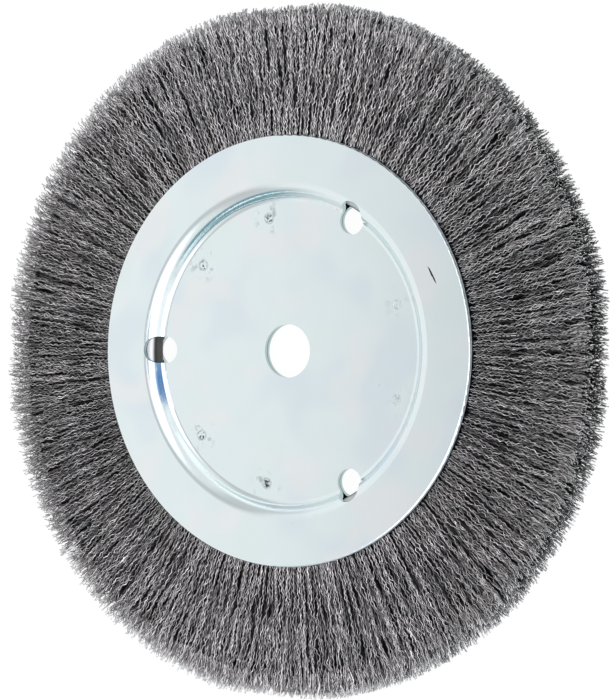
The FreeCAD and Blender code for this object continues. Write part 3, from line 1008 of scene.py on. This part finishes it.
    def _route(self, nodes: Nodes, given: dict) -> Socket:
        """Works out the place of each point along a wire.

        Args:
            nodes: the layer group's nodes.
            given: the group's inputs.

        Returns:
            The place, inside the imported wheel's own outline.
        """
        strand = self._strand(nodes, given)
        across = self._sideways(nodes, given, strand)
        values = {"Min": -self.crimp_shift, "Max": self.crimp_shift, "Seed": self.shift_seed}
        shift = nodes.out("FunctionNodeRandomValue", values, data_type="FLOAT")
        radius = nodes.calc("ADD", strand.radius, nodes.times(shift, strand.free))
        x = nodes.calc("SUBTRACT", nodes.times(strand.cosine, radius),
                       nodes.times(strand.sine, across))
        y = nodes.calc("ADD", nodes.times(strand.sine, radius), nodes.times(strand.cosine, across))
        widest = nodes.calc("MAXIMUM", nodes.calc("ABSOLUTE", x), nodes.calc("ABSOLUTE", y))
        keep = nodes.calc("DIVIDE", self.flare.reach - self.skin * self.wire_radius, widest)
        keep = nodes.calc("MINIMUM", keep, 1.0)
        height = self._height(nodes, given, strand)
        return nodes.point(nodes.times(x, keep), nodes.times(y, keep), height)

    def tuft_tree(self) -> bpy.types.NodeTree:
        """Builds the tree that dresses one tuft's core with all its layers.

        Returns:
            A geometry tree for the core's own mesh.
        """
        layer = self.layer_group()
        shared = self.shared_sockets()
        inputs = {"Core": ("NodeSocketGeometry", None)} | shared
        outputs = {"Tuft": "NodeSocketGeometry"}
        nodes, given = open_group("Tuft of wire", "GeometryNodeTree", inputs, outputs)
        join = nodes.add("GeometryNodeJoinGeometry")
        for offset, depth in enumerate(Depth):
            wires = depth.value
            values = {name: given[name] for name in shared}
            values |= {name: value for name, (_, value) in wires.sockets().items()}
            values["Wire radius"] = nodes.times(given["Wire radius"], wires.thick)
            values["Clump"] = nodes.times(given["Clump"], wires.clump)
            values["Seed"] = nodes.calc("ADD", given["Seed"], self.layer_seeds * offset)
            laid = nodes.out("GeometryNodeGroup", values, node_tree=layer)
            nodes.tree.links.new(laid, join.inputs[0])
        nodes.tree.links.new(given["Core"], join.inputs[0])
        whole = nodes.out("GeometryNodeRealizeInstances", {"Geometry": join.outputs[0]})
        shade = nodes.add("GeometryNodeInputNamedAttribute", {"Name": "shade"}, data_type="FLOAT")
        whole = nodes.out(
            "GeometryNodeSetMaterial",
            {
                "Geometry": whole,
                "Selection": nodes.calc("GREATER_THAN", shade.outputs["Attribute"], 0.0),
                "Material": self.wire_material,
            },
        )
        nodes.add("NodeGroupOutput", {"Tuft": whole})
        return nodes.tree

    def core_point(self, turn: float, row: int, side: int) -> Vector:
        """Finds one corner of a packed core, whose faces have ridges along the wires.

        Args:
            turn: angle about the wheel's axis.
            row: number of the row, from the root outwards.
            side: 1 on the front face and -1 on the rear face.

        Returns:
            The corner's place.
        """
        rim, rows = self.flare.rim, self.core_rows
        start = self.root + self.core_inset
        middle = start + (self.core_end - start) * row / rows
        share = self.core_share
        if middle > rim:
            along = (middle - rim) / (self.core_end - rim)
            share += (self.core_share_end - share) * along**self.core_share_power
        end_gap, ridge_gap = self.core_face_gaps
        end = noise.noise(Vector((turn * self.core_end_scale, self.core_end_row, side * end_gap)))
        radius = middle + self.core_ragged * end * (row / rows) ** self.core_ragged_power
        round_scale, outward_scale = self.core_ridge_scale
        ridge = noise.noise(Vector((turn * round_scale, radius * outward_scale, side * ridge_gap)))
        height = side * self.flare.half_width(radius) * share * (1.0 + self.core_ridge * ridge)
        return Vector((radius * math.cos(turn), radius * math.sin(turn), height))

    def core_mesh(self, name: str, angle: float) -> bpy.types.Mesh:
        """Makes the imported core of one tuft.

        Args:
            name: name of the mesh.
            angle: where the tuft points, about the wheel's axis.

        Returns:
            A closed mesh.
        """
        columns, rows = self.core_columns, self.core_rows
        width = self.width * self.core_width
        turns = [angle + width * (column / columns - 0.5) for column in range(columns + 1)]
        mesh = bmesh.new()
        upper, lower = (
            [[mesh.verts.new(self.core_point(turn, row, side)) for turn in turns]
             for row in range(rows + 1)]
            for side in (1, -1)
        )
        for row in range(rows):
            for column in range(columns):
                near, far = slice(column, column + 2), row + 1
                a, b = upper[row][near]
                d, c = upper[far][near]
                mesh.faces.new((a, d, c, b))
                a, b = lower[row][near]
                d, c = lower[far][near]
                mesh.faces.new((a, b, c, d))
            for column in (0, columns):
                mesh.faces.new((upper[row][column], upper[row + 1][column],
                                lower[row + 1][column], lower[row][column]))
        for row in (0, rows):
            for column in range(columns):
                mesh.faces.new((upper[row][column], upper[row][column + 1],
                                lower[row][column + 1], lower[row][column]))
        bmesh.ops.recalc_face_normals(mesh, faces=mesh.faces)
        result = bpy.data.meshes.new(name)
        mesh.to_mesh(result)
        mesh.free()
        result.materials.append(self.core_material)
        return result

    def build(self) -> list[bpy.types.Object]:
        """Makes every tuft as a plain mesh in its own place.

        Returns:
            The tufts in order round the wheel.
        """
        tree = self.tuft_tree()
        sockets = {item.name: item.identifier for item in tree.interface.items_tree}
        pieces = []
        for index, node in enumerate(self.tufts):
            name = node.replace("wire_tuft", "crimped_tuft")
            angle = self.width * index
            draft = bpy.data.objects.new(name + "_draft", self.core_mesh(name, angle))
            bpy.context.scene.collection.objects.link(draft)
            modifier = draft.modifiers.new("Wires", "NODES")
            modifier.node_group = tree
            modifier[sockets["Tuft angle"]] = angle
            modifier[sockets["Seed"]] = self.seed + self.tuft_seeds * index
            graph = bpy.context.evaluated_depsgraph_get()
            mesh = bpy.data.meshes.new_from_object(draft.evaluated_get(graph))
            mesh.name = name
            bpy.data.objects.remove(draft)
            piece = bpy.data.objects.new(name, mesh)
            bpy.context.scene.collection.objects.link(piece)
            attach(piece, "root")
            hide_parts(node)
            pieces.append(piece)
        return pieces


@dataclass
class PressedParts:
    """The plates, channel and core ring, as packed, with their finishes."""

    groups: EffectGroups
    zinc: ZincFinish = ZincFinish()
    # The channel strip's dark colours are painted shade for its web in shadow; its lit colour shows
    # further out, on the bend.
    strip: SteelFinish = SteelFinish(
        name="Channel strip", light=(0.085, 0.085, 0.08, 1.0), dark=(0.06, 0.06, 0.058, 1.0),
        grain_scale=900.0, gloss=(0.35, 0.5), lit_steel=(0.52, 0.54, 0.54, 1.0),
    )
    core: SteelFinish = SteelFinish(
        name="Core wire", light=(0.35, 0.35, 0.36, 1.0), dark=(0.18, 0.18, 0.19, 1.0),
        grain_scale=1500.0, gloss=(0.3, 0.5),
    )

    def dress(self) -> list[bpy.types.Object]:
        """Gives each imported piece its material.

        Returns:
            The pieces.
        """
        zinc = self.zinc.build(self.groups)
        finishes = {
            "front_face_plate": zinc,
            "rear_face_plate": zinc,
            "retaining_channel": self.strip.build(self.groups),
            "core_wire_ring": self.core.build(self.groups),
        }
        pieces = []
        for name, material in finishes.items():
            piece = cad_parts[name]
            for slot in piece.material_slots:
                slot.material = material
            pieces.append(piece)
        return pieces


class Bearing(Enum):
    """Measures of a direction, by which the patches of the room are bounded."""

    RIGHT = "how far it points to the right"
    BACK = "how far it points to the back"
    UP = "how far it points up"
    ASIDE = "how far it points to the front or back"
    BEAM = "how near it is to the ceiling's beam"
    SOFTBOX = "how near it is to the softbox"
    PANEL = "how far it turns from the blue panel"
    RIGHT_HALF = "one in the right half of the room"


Limits = tuple[tuple[Bearing, float, float], ...]


@dataclass(frozen=True)
class RoomPatch:
    """A soft-edged patch of the room that the metal mirrors, laid over the patches before it.

    Each limit is a bearing, its value where the patch starts and its value where it is full.
    """

    name: str
    colour: Colour
    limits: Limits


@dataclass
class Studio:
    """Pale floor, one soft lamp and a pale room."""

    floor_size: float = 3.0
    floor_colour: Colour = (0.86, 0.87, 0.88, 1.0)
    floor_glow: float = 1.035
    floor_glow_share: float = 0.88
    room_level: float = 1.02
    patches: tuple[RoomPatch, ...] = (
        RoomPatch("ceiling", (0.60, 0.607, 0.62, 1.0), ((Bearing.RIGHT, -0.55, -0.43),)),
        RoomPatch("far ceiling", (0.92, 0.92, 0.92, 1.0), ((Bearing.RIGHT, -0.35, -0.10),)),
        RoomPatch("side walls", (0.65, 0.68, 0.69, 1.0),
                  ((Bearing.ASIDE, 0.45, 0.85), (Bearing.RIGHT, 0.0, -0.25))),
        RoomPatch("low wall", WHITE, ((Bearing.UP, 0.35, 0.15), (Bearing.BACK, -0.9, -0.5))),
        RoomPatch("low shelf", (0.17, 0.33, 0.38, 1.0),
                  ((Bearing.UP, 0.40, 0.27), (Bearing.UP, 0.0, 0.08),
                   (Bearing.BACK, -0.70, -0.92))),
        RoomPatch("softbox", (1.0, 0.965, 1.0, 1.0),
                  ((Bearing.SOFTBOX, 0.66, 0.86), (Bearing.BEAM, 0.996, 0.980))),
        RoomPatch("ceiling beam", (0.36, 0.44, 0.50, 1.0), ((Bearing.BEAM, 0.980, 0.996),)),
        RoomPatch("blue panel", (0.02, 0.16, 0.40, 1.0),
                  ((Bearing.PANEL, 0.34, 0.16), (Bearing.UP, 0.80, 0.35),
                   (Bearing.RIGHT_HALF, 0.0, 1.0))),
    )
    beam_towards: Direction = (0.05, 0.0, 0.999)
    softbox_towards: Direction = (0.50, -0.03, 0.865)
    softbox_gain: float = 1.0
    panel_slope: float = 0.36
    window: Limits = ((Bearing.RIGHT, 0.05, 0.35), (Bearing.BACK, -0.78, -0.62))
    window_gain: float = 0.12
    lamp_place: Direction = (0.62, -0.10, 0.75)
    lamp_size: float = 0.6
    lamp_power: float = 0.8

    def floor(self, height: float) -> None:
        """Lays the floor under the wheel, seen from above only.

        Args:
            height: the floor's height.
        """
        half = self.floor_size / 2
        corners = [(-half, -half, height), (half, -half, height), (half, half, height),
                   (-half, half, height)]
        mesh = bpy.data.meshes.new("studio_floor")
        mesh.from_pydata(corners, [], [(0, 1, 2, 3)])
        material, nodes, surface = new_material("Studio floor")
        ray = nodes.add("ShaderNodeLightPath").outputs
        seen = nodes.calc("MAXIMUM", ray["Is Camera Ray"], ray["Is Glossy Ray"])
        seen = nodes.calc("MAXIMUM", seen, ray["Is Transmission Ray"])
        share = nodes.times(seen, self.floor_glow_share)
        plain = nodes.out("ShaderNodeBsdfDiffuse", {"Color": self.floor_colour})
        glow = nodes.out("ShaderNodeEmission", {"Color": WHITE, "Strength": self.floor_glow})
        mixed = nodes.out("ShaderNodeMixShader", {0: share, 1: plain, 2: glow})
        clear = nodes.out("ShaderNodeBsdfTransparent")
        under = nodes.add("ShaderNodeNewGeometry").outputs["Backfacing"]
        final = nodes.out("ShaderNodeMixShader", {0: under, 1: mixed, 2: clear})
        nodes.tree.links.new(final, surface.inputs["Surface"])
        mesh.materials.append(material)
        floor = bpy.data.objects.new("studio_floor", mesh)
        bpy.context.scene.collection.objects.link(floor)

    def bearings(self, nodes: Nodes) -> dict[Bearing, Socket]:
        """Measures the direction in which the room is seen.

        Args:
            nodes: the world's nodes.

        Returns:
            Each measure's value.
        """
        direction = nodes.add("ShaderNodeTexCoord").outputs["Generated"]
        x, y, z = nodes.split(direction)
        slope = nodes.calc("SUBTRACT", nodes.calc("DIVIDE", y, x), self.panel_slope)
        return {
            Bearing.RIGHT: x,
            Bearing.BACK: y,
            Bearing.UP: z,
            Bearing.ASIDE: nodes.calc("ABSOLUTE", y),
            Bearing.BEAM: nodes.nearness(direction, self.beam_towards),
            Bearing.SOFTBOX: nodes.nearness(direction, self.softbox_towards),
            Bearing.PANEL: nodes.calc("ABSOLUTE", slope),
            Bearing.RIGHT_HALF: nodes.calc("GREATER_THAN", x, 0.0),
        }

    def surround(self) -> None:
        """Lights the wheel from a pale room, whose patches show in the bright metal."""
        world = bpy.data.worlds.new("Studio surround")
        bpy.context.scene.world = world
        world.use_nodes = True
        world.node_tree.nodes.clear()
        nodes = Nodes(world.node_tree)
        bearings = self.bearings(nodes)

        def within(limits: Limits) -> list[Socket]:
            """Gives a mask for each limit."""
            return [nodes.ramp(bearings[bearing], low, high) for bearing, low, high in limits]

        room: Socket | Colour = WHITE
        masks = {}
        for patch in self.patches:
            masks[patch.name] = nodes.times(*within(patch.limits))
            room = nodes.tint(masks[patch.name], room, patch.colour)
        window = nodes.times(*within(self.window), masks["low wall"])
        strength = nodes.calc("MULTIPLY_ADD", window, self.window_gain, self.room_level)
        strength = nodes.calc("MULTIPLY_ADD", masks["softbox"], self.softbox_gain, strength)
        ray = nodes.add("ShaderNodeLightPath").outputs["Is Camera Ray"]
        glow = nodes.out("ShaderNodeBackground", {"Color": room, "Strength": strength})
        plain = nodes.out("ShaderNodeBackground", {"Color": WHITE, "Strength": 1.0})
        final = nodes.out("ShaderNodeMixShader", {0: ray, 1: glow, 2: plain})
        nodes.add("ShaderNodeOutputWorld", {"Surface": final})

    def key_lamp(self) -> None:
        """Hangs a soft square lamp that faces the wheel."""
        light = bpy.data.lights.new("key_lamp", "AREA")
        light.size = self.lamp_size
        light.energy = self.lamp_power
        lamp = bpy.data.objects.new("key_lamp", light)
        lamp.location = Vector(self.lamp_place)
        lamp.rotation_euler = (-lamp.location).to_track_quat("-Z", "Y").to_euler()
        bpy.context.scene.collection.objects.link(lamp)

    def build(self) -> None:
        """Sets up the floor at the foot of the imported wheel, the room and the lamp."""
        self.floor(CAD_BOX[0][2])
        self.surround()
        self.key_lamp()
        log.info("studio ready")


@dataclass
class PictureCamera:
    """Camera where the photograph was taken from, found from the wheel's outline in it.

    Its axis passes through the middle of the front flange's plane, which shows left of the
    picture's own middle.
    """

    picture: tuple[int, int] = (615, 700)
    middle: Span = (280.35, 350.87)
    focal_pixels: float = 2601.0
    distance: float = 763.6 * MM
    aside: float = math.radians(33.19)
    rise: float = math.radians(-0.53)
    roll: float = math.radians(-0.30)
    wheel_turn: float = math.radians(1.0)
    flange: float = 4.96 * MM
    farthest: float = 20.0

    def build(self) -> None:
        """Makes the camera and sets it as the scene's own."""
        turn = Matrix.Rotation(self.wheel_turn, 3, "Z")
        aim = turn @ Matrix.Rotation(self.aside, 3, "Y") @ Matrix.Rotation(-self.rise, 3, "X")
        aim = aim @ Matrix.Rotation(self.roll, 3, "Z")
        data = bpy.data.cameras.new("picture_camera")
        longest = max(self.picture)
        data.lens = self.focal_pixels / longest * data.sensor_width
        data.shift_x = (self.picture[0] / 2 - self.middle[0]) / longest
        data.shift_y = (self.middle[1] - self.picture[1] / 2) / longest
        data.clip_end = self.farthest
        camera = bpy.data.objects.new("picture_camera", data)
        target = Vector((0.0, 0.0, self.flange))
        place = target + aim @ Vector((0.0, 0.0, self.distance))
        camera.matrix_world = Matrix.Translation(place) @ aim.to_4x4()
        bpy.context.scene.collection.objects.link(camera)
        bpy.context.scene.camera = camera


def main() -> None:
    """Builds the wheel's looks and the studio round it, in order."""
    logging.basicConfig(level=logging.INFO, format="%(name)s: %(message)s")
    bpy.context.scene.view_settings.view_transform = "Standard"
    PictureCamera().build()
    pieces = PressedParts(EffectGroups()).dress() + WireFill().build()
    for piece in pieces:
        triangles = sum(len(face.vertices) - 2 for face in piece.data.polygons)
        log.info("%s: %d triangles", piece.name, triangles)
    Studio().build()


if __name__ == "__main__":
    main()
